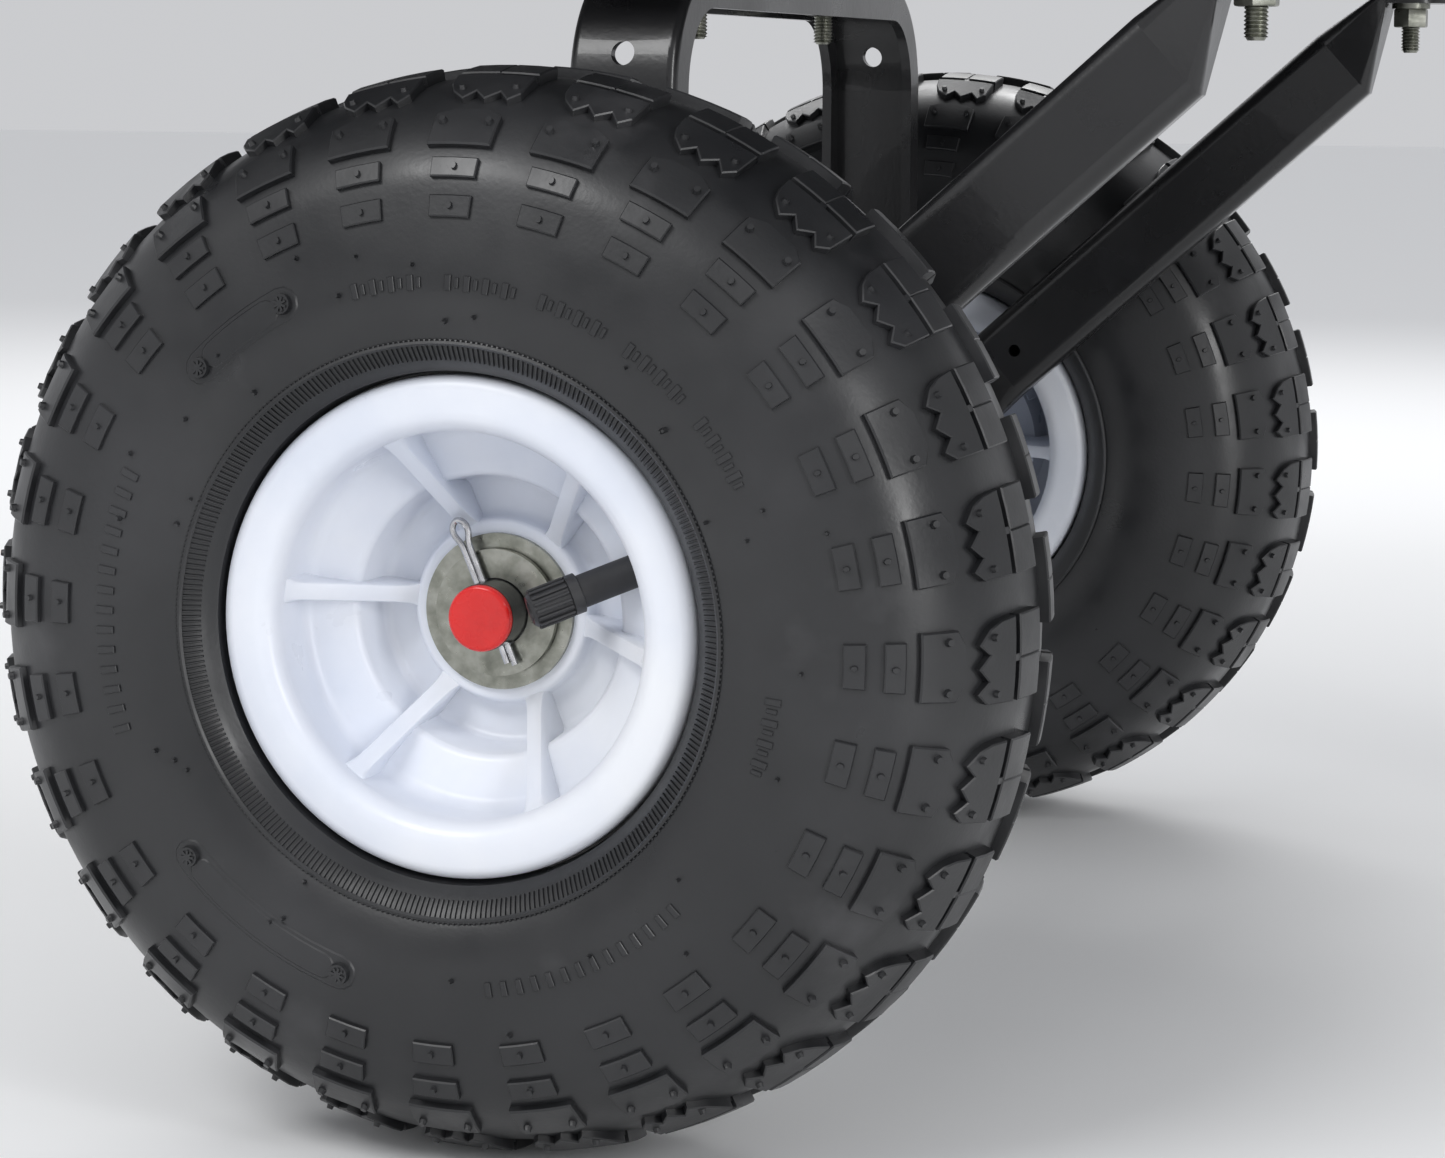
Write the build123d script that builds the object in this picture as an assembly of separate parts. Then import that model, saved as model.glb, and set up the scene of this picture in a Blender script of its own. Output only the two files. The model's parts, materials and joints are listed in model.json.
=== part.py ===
"""Small tow-behind cart: two pneumatic wheels on a dead axle, a pressed arch and two struts that carry
the bed frame, a moulded tub, a drawbar with a hitch clevis and a fold-up parking stand.
Millimetres. X forward, Y left, Z up; origin on the ground below the middle of the bounding box."""
import os
from math import cos, radians, sin, tan
from build123d import *

# ---- driving dimensions -------------------------------------------------------------------------
fit = 0.05                 # radial running clearance between a turning piece and its shaft
seat_gap = 0.1             # clearance of an unstressed seat, such as a bolt in its hole
track = 426.0              # between the wheels' middle planes

# wheels: v is measured along the axle from a wheel's middle plane, outwards
tyre_r = 130.0
tyre_half = 49.2           # half the section width at the widest point of the sidewall
tyre_wide_r = 88.0         # radius at which the sidewall is widest
shoulder_v = 38.0          # the crown's arc ends here
shoulder_r = 118.5
tyre_wall = 7.0
tread_wall = 10.0
bead_toe_rise = 8.0        # height of the bead inside the tyre
bead_lap = 38.5            # the sidewall leaves the rim lip here
bead_r = 50.8              # bead seat of the rim
bead_width = 13.0
tube_wall = 2.0
lip_r = 58.7               # outer radius of the rim lip
lip_inner_r = 44.5
lip_v = 40.8               # outer face of the lip
lip_thick = 7.3
barrel_r = 45.6            # inside of the barrel
web_step_r = 33.3          # where the web steps down towards the hub
web_outer_v = 22.0         # face of the shallow ring at the barrel
web_step_v = 18.0          # face of the shallow ring at the step
web_inner_v = 4.0          # face of the deep ring
web_thick = 5.0
hub_r = 22.0
hub_out_v = 9.6            # outboard face of the hub
hub_in_v = -46.0           # inboard face of the hub
rib_count = 6
rib_thick = 4.0
rib_first = -7.0           # degrees from forward, towards up
valve_angle = 20.0
valve_base_v = 18.0
valve_tip_v = 34.0
valve_tip_r = 17.1
valve_tip_angle = 14.0
stem_r = 3.9
valve_cap_r = 4.8
valve_cap_len = 12.5

# bearings, axle and what is threaded on it
axle_r = 8.0
bearing_r = 17.5           # pocket in the hub
cup_wall = 1.9
cup_depth = 8.6
flange_r = 18.7
flange_thick = 1.4
race_r = 10.6
race_proud = 0.6           # the race stands this far out of the flange
ball_count = 9
axle_washer_r = 15.2
axle_washer_thick = 1.6
axle_end_v = 22.3
cap_r = 7.85
cap_thick = 2.0
cap_stem_r = 3.9
cap_stem_len = 5.0
cotter_v = 15.2
cotter_r = 1.55
cotter_angle = 113.0
cotter_eye_r = 21.4
cotter_tail_r = 13.2
sleeve_r = 11.0

# arch over the axle
arch_half = 127.5
arch_top = 287.5
arch_width = 30.0
arch_x = -4.0
arch_corner = 34.0
arch_wall = 3.0
arch_flange = 11.5
arch_bottom = 113.0
arch_flange_end = 152.0    # the flanges stop here, and a flat tongue goes on down to the axle
leg_hole_r = 3.2
leg_hole_z = 264.0
leg_hole_stagger = 0.5     # left hole above, right hole below this height

# struts
strut_angle = 42.0
strut_lift = 1.5           # the strut's centre line passes this far above the axle centre
strut_y = 154.4
strut_depth = 25.0
strut_wide = 13.0
strut_wall = 1.5
strut_round = 4.5
strut_flat = 5.0           # thickness of both flattened ends
strut_eye_r = 14.0
strut_weld_end = 26.0      # the flattened lower end blends into the tube between these
strut_tube_start = 46.0
strut_tube_end = 197.0     # the tube blends into the tab from here
tab_wide = 26.0
tab_bolt_x = 166.0

# bed frame
cross_wide = 30.0
cross_high = 15.0
cross_wall = 1.5
cross_overhang = 16.0      # past the outer bolts
rail_y = 110.0
rail_wide = 20.0
rail_high = 25.0
rail_wall = 2.0
rail_back = -250.0
rail_front = 320.0
drawbar_wide = 40.0
drawbar_back = -50.0
drawbar_front = 640.0
crown_bolt_y = 63.6
bolt_r = 2.9               # M6
nut_flats = 10.0
nut_high = 6.0
washer_r = 6.0
washer_thick = 1.6
crown_bolt_end = 268.0
tab_bolt_end = 266.8
head_r = 7.0
head_high = 3.2

# tub
tub_x = 30.0
tub_floor_len = 600.0
tub_floor_wide = 360.0
tub_top_len = 720.0
tub_top_wide = 500.0
tub_high = 235.0
tub_wall = 4.0
tub_corner = 30.0
tub_rim = 14.0
tub_rim_drop = 18.0
tub_bolt_back = -200.0
tub_bolt_front = 270.0
tub_washer_r = 12.0

# hitch
hitch_thick = 6.0
hitch_back = 585.0
hitch_reach = 60.0         # past the end of the drawbar
hitch_hole_back = 22.0     # hole to the tip of the plates
hitch_hole_r = 6.6
hitch_bolt_r = 3.9
hitch_bolt_xs = (600.0, 625.0)
pin_r = 6.35
pin_store_x = 560.0
pin_below = 22.0           # the stored pin reaches this far below its holder
holder_wall = 3.0

# parking stand
stand_x = 520.0
stand_z = 276.0
stand_tube = 25.0
stand_wall = 2.0
stand_lean = 4.0
stand_top = 12.0           # tube above the pivot
stand_plate = 4.0
stand_ear_half = 20.0
stand_ear_low = 16.0       # ear below the pivot
stand_gap = 0.4
stand_pin_r = 4.0
foot_r = 21.0
foot_high = 6.0
foot_plug = 18.0

# ---- worked-out places --------------------------------------------------------------------------
half_track = track / 2
cross_z = arch_top
rail_z = cross_z + cross_high
tub_z = rail_z + rail_high
cup_in = hub_out_v - cup_depth
race_out = hub_out_v + flange_thick + race_proud
race_in = hub_in_v - flange_thick - race_proud
ball_pitch_r = (race_r + bearing_r - cup_wall) / 2
ball_r = (bearing_r - cup_wall - race_r) / 2 - fit
strut_dir = Vector(cos(radians(strut_angle)), 0, sin(radians(strut_angle)))
strut_up = Vector(-sin(radians(strut_angle)), 0, cos(radians(strut_angle)))
parts = {}


def keep(name, *solids):
    """Remember one sub-part, a single solid or a group of separate ones."""
    parts[name] = list(solids)


def both_sides(shape):
    """A shape and its mirror image across the middle of the cart."""
    return shape, mirror(shape, about=Plane.XZ)


def cylinder(radius, start, end):
    """A round bar from one point to another."""
    start, end = Vector(*start), Vector(*end)
    run = end - start
    return extrude(Plane(origin=start, z_dir=run) * Circle(radius), amount=run.length)


def sleeve(outer, inner, start, end):
    return cylinder(outer, start, end) - cylinder(inner, start, end)


def block(x0, x1, y0, y1, z0, z1):
    return Pos((x0 + x1) / 2, (y0 + y1) / 2, (z0 + z1) / 2) * Box(x1 - x0, y1 - y0, z1 - z0)


def turned(points, rounds=()):
    """Turn an outline of (v, r) points about the axle line. rounds gives (v, r, radius) of soft corners."""
    face = make_face(Polyline(*[(r, v) for v, r in points], close=True))
    for v, r, radius in rounds:
        corner = face.vertices().sort_by_distance((r, v, 0))[0]
        face = fillet(corner, radius)
    return revolve(face, Axis.Y)


def on_wheel(shape, spin=0.0):
    """Carry a piece made about the Y axis, with v along +Y, to the left wheel; spin turns it forward."""
    return Pos(0, half_track, tyre_r) * Rot(0, spin, 0) * shape


def wheel_point(r, angle, v):
    """A point of a wheel from its radius, its angle from forward towards up, and v."""
    return r * cos(radians(angle)), v, r * sin(radians(angle))


# ---- wheel --------------------------------------------------------------------------------------
def cavity(shrink):
    """The space inside the tyre, above the rim, pulled in by shrink on every side."""
    side = lip_v - lip_thick - bead_width - shrink
    low = bead_r + shrink + 0.3
    heel = bead_r + bead_toe_rise
    wide = tyre_half - tyre_wall - shrink
    shoulder = (shoulder_r - 0.8 * tread_wall, shoulder_v - tyre_wall - shrink)
    high = tyre_r - tread_wall - shrink
    line = Polyline((low, side), (heel, side))
    line += ThreePointArc((heel, side), (tyre_wide_r, wide), shoulder)
    line += ThreePointArc(shoulder, (high, 0), (shoulder[0], -shoulder[1]))
    line += ThreePointArc((shoulder[0], -shoulder[1]), (tyre_wide_r, -wide), (heel, -side))
    line += Polyline((heel, -side), (low, -side), (low, side))
    return revolve(make_face(line), Axis.Y)


def tyre():
    """Plain ring round the tread blocks' tops, open inwards between its beads."""
    bead = lip_v - lip_thick
    low = lip_r + 0.3
    flare = lip_r + 0.6
    line = Polyline((bead_r + seat_gap, bead), (low, bead), (flare, bead_lap))
    line += ThreePointArc((flare, bead_lap), (tyre_wide_r, tyre_half), (shoulder_r, shoulder_v))
    line += ThreePointArc((shoulder_r, shoulder_v), (tyre_r, 0), (shoulder_r, -shoulder_v))
    line += ThreePointArc((shoulder_r, -shoulder_v), (tyre_wide_r, -tyre_half), (flare, -bead_lap))
    line += Polyline((flare, -bead_lap), (low, -bead), (bead_r + seat_gap, -bead), (bead_r + seat_gap, bead))
    toe = bead - bead_width
    mouth = bead_r + bead_toe_rise + 1
    gap = turned([(-toe, bead_r - 1), (toe, bead_r - 1), (toe, mouth), (-toe, mouth)])
    return revolve(make_face(line), Axis.Y) - cavity(0) - gap


valve_base = Vector(*wheel_point(bead_r + 2.0, valve_angle, valve_base_v - 4.0))
valve_tip = Vector(*wheel_point(valve_tip_r, valve_tip_angle, valve_tip_v))
valve_dir = (valve_tip - valve_base).normalized()


def inner_tube():
    """Butyl tube with its moulded valve stem."""
    stem_end = valve_tip - valve_dir * 2.0
    stem = cylinder(stem_r, valve_base, stem_end)
    boss = Pos(*valve_base) * Sphere(stem_r * 1.6)
    body = cavity(0.4) - cavity(0.4 + tube_wall)
    keep_out = turned([(-60, 0), (60, 0), (60, bead_r + 0.5), (-60, bead_r + 0.5)])
    return body + (boss - keep_out) + stem


def valve_cap():
    cap = cylinder(valve_cap_r, valve_tip - valve_dir * valve_cap_len, valve_tip)
    bore = cylinder(stem_r + seat_gap, valve_tip - valve_dir * 20, valve_tip - valve_dir * 1.9)
    return cap - bore


def rib(angle, outboard):
    """One radial rib, from the barrel to the hub, on the outboard or the inboard side of the web."""
    if outboard:
        edge = Line((barrel_r + 0.5, lip_v - 6), (hub_r - 1, hub_out_v - 0.6))
        foot = [(hub_r - 1, hub_out_v - 0.6), (hub_r - 1, web_inner_v - 2), (web_step_r, web_inner_v - 2),
                (web_step_r + 1, web_step_v - 2), (barrel_r + 0.5, web_outer_v - 2),
                (barrel_r + 0.5, lip_v - 6)]
    else:
        edge = ThreePointArc((barrel_r + 0.5, 6 - lip_v), (33.0, -27.0), (hub_r - 1, hub_in_v + 8))
        foot = [(hub_r - 1, hub_in_v + 8), (hub_r - 1, web_inner_v - 3), (web_step_r, web_inner_v - 3),
                (web_step_r + 1, web_step_v - 6), (barrel_r + 0.5, web_outer_v - 6),
                (barrel_r + 0.5, 6 - lip_v)]
    face = make_face(edge + Polyline(*foot))
    return Rot(0, -angle, 0) * extrude(face, amount=rib_thick / 2, both=True)


def valve_hole():
    return cylinder(stem_r + 0.3, valve_base - valve_dir * 4, valve_tip)


def rim():
    """Outer part of the rim: barrel, bead seats and two lips."""
    seat_v = lip_v - lip_thick
    barrel_end = lip_v - 6
    soft = [(s * lip_v, lip_inner_r, 5.0) for s in (1, -1)]
    soft += [(s * lip_v, lip_r, 3.2) for s in (1, -1)]
    band = turned([
        (lip_v, lip_inner_r), (lip_v, lip_r), (seat_v, lip_r), (seat_v, bead_r),
        (-seat_v, bead_r), (-seat_v, lip_r), (-lip_v, lip_r), (-lip_v, lip_inner_r),
        (-barrel_end, barrel_r), (barrel_end, barrel_r)], soft)
    return band - valve_hole()


def rim_centre():
    """Inner part of the rim: stepped web, ribs and a long hub with two bearing pockets."""
    pocket_in = hub_in_v + cup_depth
    body = turned([
        (web_outer_v - web_thick, barrel_r + 1), (web_step_v - web_thick, web_step_r),
        (web_inner_v - web_thick, web_step_r - 1), (web_inner_v - web_thick, hub_r),
        (hub_in_v, hub_r), (hub_in_v, bearing_r), (pocket_in, bearing_r),
        (pocket_in, bearing_r - 5), (cup_in, bearing_r - 5), (cup_in, bearing_r), (hub_out_v, bearing_r),
        (hub_out_v, hub_r), (web_inner_v, hub_r), (web_inner_v, web_step_r - 1), (web_step_v, web_step_r),
        (web_outer_v, barrel_r + 1)])
    for i in range(rib_count):
        body += rib(rib_first + i * 360 / rib_count, True)
        body += rib(rib_first + (i + 0.5) * 360 / rib_count, False)
    seat = barrel_r - seat_gap
    body -= turned([(-tyre_half, seat), (tyre_half, seat), (tyre_half, lip_r), (-tyre_half, lip_r)])
    body -= valve_hole()
    return body.solids().sort_by(SortBy.VOLUME)[-1]     # without the chip of rib beyond the valve hole


def bearing_cup(flip):
    """Pressed bearing cup with its flange on the hub's face; flip makes the inboard one."""
    face = hub_in_v if flip else hub_out_v
    s = -1 if flip else 1
    inner = bearing_r - cup_wall
    return turned([
        (face + s * flange_thick, race_r + 1.8), (face + s * flange_thick, flange_r), (face, flange_r),
        (face, bearing_r - seat_gap / 2), (face - s * (cup_depth - 0.2), bearing_r - seat_gap / 2),
        (face - s * (cup_depth - 0.2), inner), (face, inner), (face, race_r + 1.8)])


def bearing_balls():
    rows = []
    for v in (hub_out_v - cup_depth / 2, hub_in_v + cup_depth / 2):
        for i in range(ball_count):
            x, y, z = wheel_point(ball_pitch_r, i * 360 / ball_count, v)
            rows.append(Pos(x, y, z) * Sphere(ball_r))
    return rows


def inner_races():
    out = sleeve(race_r, axle_r + fit, (0, cup_in, 0), (0, race_out, 0))
    inn = sleeve(race_r, axle_r + fit, (0, hub_in_v + cup_depth, 0), (0, race_in, 0))
    return [out, inn]


def axle_washer(v, sign):
    return sleeve(axle_washer_r, axle_r + 0.3, (0, v, 0), (0, v + sign * axle_washer_thick, 0))


def cotter_pin():
    """Split pin through the axle, with its eye on the upper, rear side."""
    eye_r = 2.4
    wire = 0.9
    top = wheel_point(cotter_eye_r - eye_r, cotter_angle, cotter_v)
    tail = wheel_point(cotter_tail_r, cotter_angle + 180, cotter_v)
    eye_at = wheel_point(cotter_eye_r, cotter_angle, cotter_v)
    eye = Plane(origin=eye_at, z_dir=(0, 1, 0)) * Torus(eye_r, wire)
    return cylinder(cotter_r, tail, top) + eye


def axle_cap():
    dome = cylinder(cap_r, (0, axle_end_v, 0), (0, axle_end_v + cap_thick, 0))
    rim_edge = dome.edges().sort_by(Axis.Y)[-1]
    dome = fillet(rim_edge, 1.0)
    return dome + cylinder(cap_stem_r, (0, axle_end_v - cap_stem_len, 0), (0, axle_end_v + 0.1, 0))


wheel_pieces = {
    "tyre": [tyre()],
    "inner_tube": [inner_tube()],
    "valve_cap": [valve_cap()],
    "rim": [rim()],
    "rim_centre": [rim_centre()],
    "bearing_cups": [bearing_cup(False), bearing_cup(True)],
    "bearing_balls": bearing_balls(),
}
axle_pieces = {
    "bearing_races": inner_races(),
    "axle_washers": [axle_washer(race_out, 1), axle_washer(race_in, -1)],
    "split_pin": [cotter_pin()],
    "axle_cap": [axle_cap()],
}
left_spin = 23.0           # the left wheel stands turned by this much
for piece, solids in wheel_pieces.items():
    keep(f"left_{piece}", *[on_wheel(s, left_spin) for s in solids])
    keep(f"right_{piece}", *[mirror(on_wheel(s), about=Plane.XZ) for s in solids])
for piece, solids in axle_pieces.items():
    keep(f"left_{piece}", *[on_wheel(s) for s in solids])
    keep(f"right_{piece}", *[mirror(on_wheel(s), about=Plane.XZ) for s in solids])

# ---- axle and its spacers -----------------------------------------------------------------------
axle_end = half_track + axle_end_v
axle = cylinder(axle_r, (0, -axle_end, tyre_r), (0, axle_end, tyre_r))
for s in (1, -1):
    bore_y = axle_end - cap_stem_len - 0.5
    axle -= cylinder(cap_stem_r + fit, (0, s * bore_y, tyre_r), (0, s * axle_end, tyre_r))
    low, high = (wheel_point(r, cotter_angle, cotter_v) for r in (-20, 20))
    hole = cylinder(cotter_r + fit, low, high)
    hole = on_wheel(hole)
    axle -= hole if s == 1 else mirror(hole, about=Plane.XZ)
keep("axle", axle)

eye_in = strut_y - strut_flat / 2
eye_out = strut_y + strut_flat / 2
washer_inboard = half_track + race_in - axle_washer_thick
bore = axle_r + 0.15


def axle_sleeve(y0, y1):
    return sleeve(sleeve_r, bore, (0, y0, tyre_r), (0, y1, tyre_r))


leg_inside = arch_half - arch_wall
keep("axle_centre_sleeve", axle_sleeve(-leg_inside, leg_inside))
keep("strut_spacers", *both_sides(axle_sleeve(arch_half, eye_in)))
keep("wheel_spacers", *both_sides(axle_sleeve(eye_out, washer_inboard)))


# ---- arch ---------------------------------------------------------------------------------------
def arch_face(inset):
    """Upside-down U filled in, its sides and top pulled in by inset."""
    half, top = arch_half - inset, arch_top - inset
    face = make_face(Polyline((-half, arch_bottom), (half, arch_bottom), (half, top), (-half, top), close=True))
    corners = face.vertices().sort_by(Axis.Y)[-2:]
    return fillet(corners, arch_corner - inset)


def arch():
    """Channel bent to an upside-down U, web outwards, with a bolt hole in each leg and two in the crown."""
    plate = Plane(origin=(arch_x - arch_width / 2, 0, 0), x_dir=(0, 1, 0), z_dir=(1, 0, 0))
    body = extrude(plate * arch_face(0), amount=arch_width)
    body -= extrude(plate * arch_face(arch_flange), amount=arch_width)
    groove = extrude(plate * arch_face(arch_wall), amount=arch_width - 2 * arch_wall)
    body -= Pos(arch_wall, 0, 0) * groove
    inside = arch_half - arch_wall
    body -= block(-arch_width, arch_width, -inside, inside, arch_bottom - 1, arch_flange_end)
    for edge_x in (arch_x - arch_width / 2, arch_x + arch_width / 2):
        outer = [e for e in body.edges() if abs(e.center().X - edge_x) < 1e-3
                 and (abs(abs(e.center().Y) - arch_half) < 1e-3 or abs(e.center().Z - arch_top) < 1e-3
                      or (e.geom_type == GeomType.CIRCLE and abs(e.radius - arch_corner) < 1e-3))]
        body = fillet(outer, 2.5)
    body -= cylinder(bore, (0, -arch_half - 1, tyre_r), (0, arch_half + 1, tyre_r))
    for s in (1, -1):
        z = leg_hole_z + s * leg_hole_stagger
        body -= cylinder(leg_hole_r, (arch_x, 0, z), (arch_x, s * (arch_half + 9), z))
    for y in (-crown_bolt_y, crown_bolt_y):
        body -= cylinder(bolt_r + seat_gap, (arch_x, y, arch_top - 9), (arch_x, y, arch_top + 9))
    return body


keep("arch", arch())


# ---- struts -------------------------------------------------------------------------------------
def strut():
    """Left strut: an oval tube whose lower end is pressed flat round the axle, the upper one into a tab."""
    foot = Vector(0, strut_y, tyre_r) + strut_up * strut_lift
    tab_mid = arch_top - strut_flat / 2

    def across(s, deep, wide, round_):
        at = foot + strut_dir * s
        return Plane(origin=at, x_dir=(0, 1, 0), z_dir=strut_dir) * RectangleRounded(wide, deep, round_)

    low, high = strut_tube_start, strut_tube_end
    flat_from = strut_weld_end
    tab_start = tab_bolt_x - washer_r - 0.5
    body = extrude(across(low, strut_depth, strut_wide, strut_round), amount=high - low)
    weld = loft([across(flat_from, 2 * strut_eye_r - 1, strut_flat, 1.2),
                 across(low, strut_depth, strut_wide, strut_round)])
    tab_plane = Plane(origin=(tab_start, strut_y, tab_mid), x_dir=(0, 1, 0), z_dir=(1, 0, 0))
    neck = loft([across(high, strut_depth, strut_wide, strut_round),
                 tab_plane * RectangleRounded(tab_wide, strut_flat, 1.2)])
    eye = extrude(Plane.XZ.offset(-eye_in) * (Pos(0, tyre_r) * Circle(strut_eye_r)), amount=-strut_flat)
    tongue_at = foot + strut_dir * ((flat_from + 2) / 2)
    tongue = Plane(origin=tongue_at, x_dir=(0, 1, 0), z_dir=strut_dir) * Box(
        strut_flat, 2 * strut_eye_r - 3, flat_from + 2)
    tab_end = tab_bolt_x + tab_wide / 2
    tab = block(tab_start, tab_bolt_x, strut_y - tab_wide / 2, strut_y + tab_wide / 2,
                arch_top - strut_flat, arch_top)
    tab += cylinder(tab_end - tab_bolt_x, (tab_bolt_x, strut_y, arch_top - strut_flat),
                    (tab_bolt_x, strut_y, arch_top))
    body = body + weld + neck + eye + tongue + tab
    inner = extrude(across(low, strut_depth - 2 * strut_wall, strut_wide - 2 * strut_wall,
                           strut_round - strut_wall), amount=high - low)
    body -= inner
    vent = foot + strut_dir * (low + 8)
    body -= cylinder(2.0, vent, vent + Vector(0, -strut_wide, 0))
    body -= cylinder(bore, (0, strut_y - 20, tyre_r), (0, strut_y + 20, tyre_r))
    body -= cylinder(bolt_r + seat_gap, (tab_bolt_x, strut_y, arch_top - 20), (tab_bolt_x, strut_y, arch_top + 9))
    return body


left_strut, right_strut = both_sides(strut())
keep("left_strut", left_strut)
keep("right_strut", right_strut)


# ---- bed frame ----------------------------------------------------------------------------------
def tube_x(x0, x1, y, wide, z0, high, wall):
    outer = block(x0, x1, y - wide / 2, y + wide / 2, z0, z0 + high)
    outer = fillet(outer.edges().filter_by(Axis.X), 2.5)
    return outer - block(x0 - 1, x1 + 1, y - wide / 2 + wall, y + wide / 2 - wall, z0 + wall, z0 + high - wall)


def cross_tube(x, bolt_y, half):
    outer = block(x - cross_wide / 2, x + cross_wide / 2, -half, half, cross_z, cross_z + cross_high)
    outer = fillet(outer.edges().filter_by(Axis.Y), 2.5)
    inside = block(x - cross_wide / 2 + cross_wall, x + cross_wide / 2 - cross_wall, -half - 1, half + 1,
                   cross_z + cross_wall, cross_z + cross_high - cross_wall)
    body = outer - inside
    for y in (-bolt_y, bolt_y):
        body -= cylinder(bolt_r + seat_gap, (x, y, cross_z - 1), (x, y, rail_z + 1))
    return body


def end_plug(x, y, wide, z0, high, wall, facing):
    """Plastic plug in a tube end that faces forward (1) or back (-1)."""
    x_in, x_out = sorted((x - facing * 12, x))
    plug = block(x_in, x_out, y - wide / 2 + wall + seat_gap, y + wide / 2 - wall - seat_gap,
                 z0 + wall + seat_gap, z0 + high - wall - seat_gap)
    x_in, x_out = sorted((x, x + facing * 2.5))
    return plug + block(x_in, x_out, y - wide / 2, y + wide / 2, z0, z0 + high)


keep("bed_cross_rear", cross_tube(arch_x, crown_bolt_y, rail_y + rail_wide / 2 + cross_overhang))
keep("bed_cross_front", cross_tube(tab_bolt_x, strut_y, strut_y + cross_overhang))
for name, y in (("left_bed_rail", rail_y), ("right_bed_rail", -rail_y)):
    rail = tube_x(rail_back, rail_front, y, rail_wide, rail_z, rail_high, rail_wall)
    for x in (tub_bolt_back, tub_bolt_front):
        rail -= cylinder(bolt_r + seat_gap, (x, y, rail_z - 1), (x, y, tub_z + 1))
    keep(name, rail)
drawbar = tube_x(drawbar_back, drawbar_front, 0, drawbar_wide, rail_z, rail_high, rail_wall)
for x in hitch_bolt_xs:
    drawbar -= cylinder(hitch_bolt_r + seat_gap, (x, 0, rail_z - 1), (x, 0, tub_z + 1))
keep("drawbar", drawbar)
plugs = [end_plug(x, y, rail_wide, rail_z, rail_high, rail_wall, f)
         for x, f in ((rail_back, -1), (rail_front, 1)) for y in (-rail_y, rail_y)]
plugs.append(end_plug(drawbar_back, 0, drawbar_wide, rail_z, rail_high, rail_wall, -1))
keep("tube_end_plugs", *plugs)


# ---- fasteners ----------------------------------------------------------------------------------
def carriage_bolt(x, y, seat, end, radius=bolt_r, head=head_r):
    """Bolt with a low domed head on a seat, its shank down to end."""
    dome = cylinder(head, (x, y, seat), (x, y, seat + head_high))
    dome = fillet(dome.edges().sort_by(Axis.Z)[-1], head_high * 0.8)
    return dome + cylinder(radius, (x, y, end), (x, y, seat + 0.1))


def nut(x, y, top, radius=bolt_r, flats=nut_flats, high=nut_high):
    prism = extrude(Plane(origin=(x, y, top - high)) * RegularPolygon(flats / 2, 6, major_radius=False), amount=high)
    return prism - cylinder(radius + fit, (x, y, top - high - 1), (x, y, top + 1))


def washer(x, y, top, outer=washer_r, thick=washer_thick):
    return sleeve(outer, bolt_r + seat_gap, (x, y, top - thick), (x, y, top))


crown_under = arch_top - arch_wall
tab_under = arch_top - strut_flat
frame_bolts = [(arch_x, crown_bolt_y, crown_under, crown_bolt_end), (tab_bolt_x, strut_y, tab_under, tab_bolt_end)]
bolts, washers, nuts = [], [], []
for x, y, under, end in frame_bolts:
    for s in (1, -1):
        bolts.append(carriage_bolt(x, s * y, rail_z, end))
        washers.append(washer(x, s * y, under))
        nuts.append(nut(x, s * y, under - washer_thick))
keep("frame_bolts", *bolts)
keep("frame_washers", *washers)
keep("frame_nuts", *nuts)


# ---- tub ----------------------------------------------------------------------------------------
def tub_block(inset, z0, z1):
    """Tapered block with round corners between two heights of the tub, pulled in by inset."""
    def level(z):
        share = (z - tub_z) / tub_high
        length = tub_floor_len + (tub_top_len - tub_floor_len) * share - 2 * inset
        wide = tub_floor_wide + (tub_top_wide - tub_floor_wide) * share - 2 * inset
        return Plane(origin=(tub_x, 0, z)) * RectangleRounded(length, wide, tub_corner - inset)
    return loft([level(z0), level(z1)])


tub_top = tub_z + tub_high
tub = tub_block(0, tub_z, tub_top) + tub_block(-tub_rim, tub_top - tub_rim_drop, tub_top)
tub -= tub_block(-tub_rim + tub_wall, tub_top - tub_rim_drop - 1, tub_top - tub_wall) - tub_block(
    0, tub_top - tub_rim_drop - 1, tub_top - tub_wall)
tub -= tub_block(tub_wall, tub_z + tub_wall, tub_top + 1)
tub_bolts, tub_washers, tub_nuts = [], [], []
for x in (tub_bolt_back, tub_bolt_front):
    for y in (-rail_y, rail_y):
        inside = tub_z + tub_wall
        tub -= cylinder(bolt_r + seat_gap, (x, y, tub_z - 1), (x, y, inside + 1))
        tub_washers.append(washer(x, y, inside + washer_thick, tub_washer_r))
        tub_bolts.append(carriage_bolt(x, y, inside + washer_thick, rail_z - nut_high - 3))
        tub_nuts.append(nut(x, y, rail_z))
keep("tub", tub)
keep("tub_bolts", *tub_bolts)
keep("tub_washers", *tub_washers)
keep("tub_nuts", *tub_nuts)

# ---- hitch --------------------------------------------------------------------------------------
hitch_tip = drawbar_front + hitch_reach
hitch_hole_x = hitch_tip - hitch_hole_back


def hitch_plate(z0):
    plate = block(hitch_back, hitch_tip, -drawbar_wide / 2, drawbar_wide / 2, z0, z0 + hitch_thick)
    front = [e for e in plate.edges().filter_by(Axis.Z) if e.center().X > hitch_tip - 1]
    plate = fillet(front, drawbar_wide / 2 - 1)
    plate -= cylinder(hitch_hole_r, (hitch_hole_x, 0, z0 - 1), (hitch_hole_x, 0, z0 + hitch_thick + 1))
    for x in hitch_bolt_xs:
        plate -= cylinder(hitch_bolt_r + seat_gap, (x, 0, z0 - 1), (x, 0, z0 + hitch_thick + 1))
    return plate


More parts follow.
